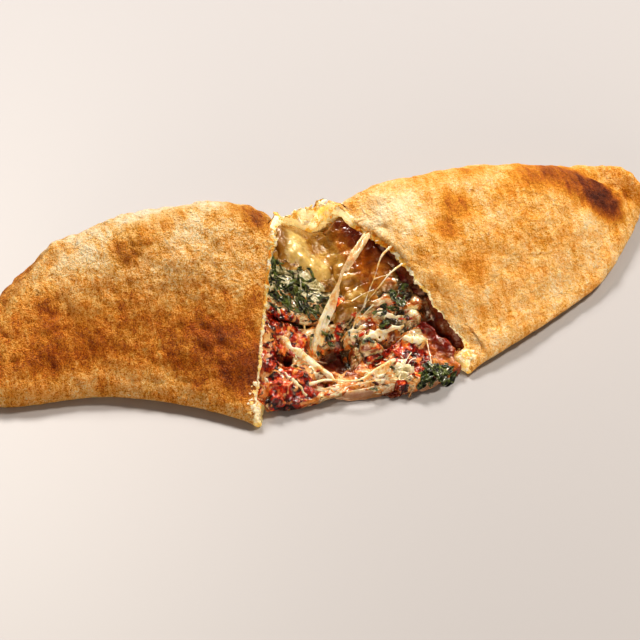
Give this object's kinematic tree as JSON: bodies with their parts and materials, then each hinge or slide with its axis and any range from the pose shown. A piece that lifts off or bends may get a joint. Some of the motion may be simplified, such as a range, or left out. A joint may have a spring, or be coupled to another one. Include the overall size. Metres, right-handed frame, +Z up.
{
  "type": "calzone",
  "caption": "Baked folded calzone, cut open in the middle, with melted cheese, spinach ricotta and tomato filling showing between its halves.",
  "frame": {"origin": "centre of the bounding box, on the surface that the calzone lies on", "axes": "+X from the left tip to the right tip, +Y from the cut opening towards the crimped hem, +Z up"},
  "size_m": [0.2878, 0.1152, 0.0493],
  "materials": {
    "baked_crust": "golden baked dough with a fine floury grain, brown patches and a pale torn crumb",
    "tomato": "wet chopped tomato sauce, glossy dark red lumps",
    "spinach_ricotta": "creamy ricotta with dark green cooked spinach, moist",
    "melted_cheese": "melted mozzarella, pale yellow, smooth and glossy"
  },
  "bodies": {
    "root": {"crust": "baked_crust", "tomato_filling": "tomato", "spinach_ricotta": "spinach_ricotta", "mozzarella": "melted_cheese"}
  },
  "joints": []
}
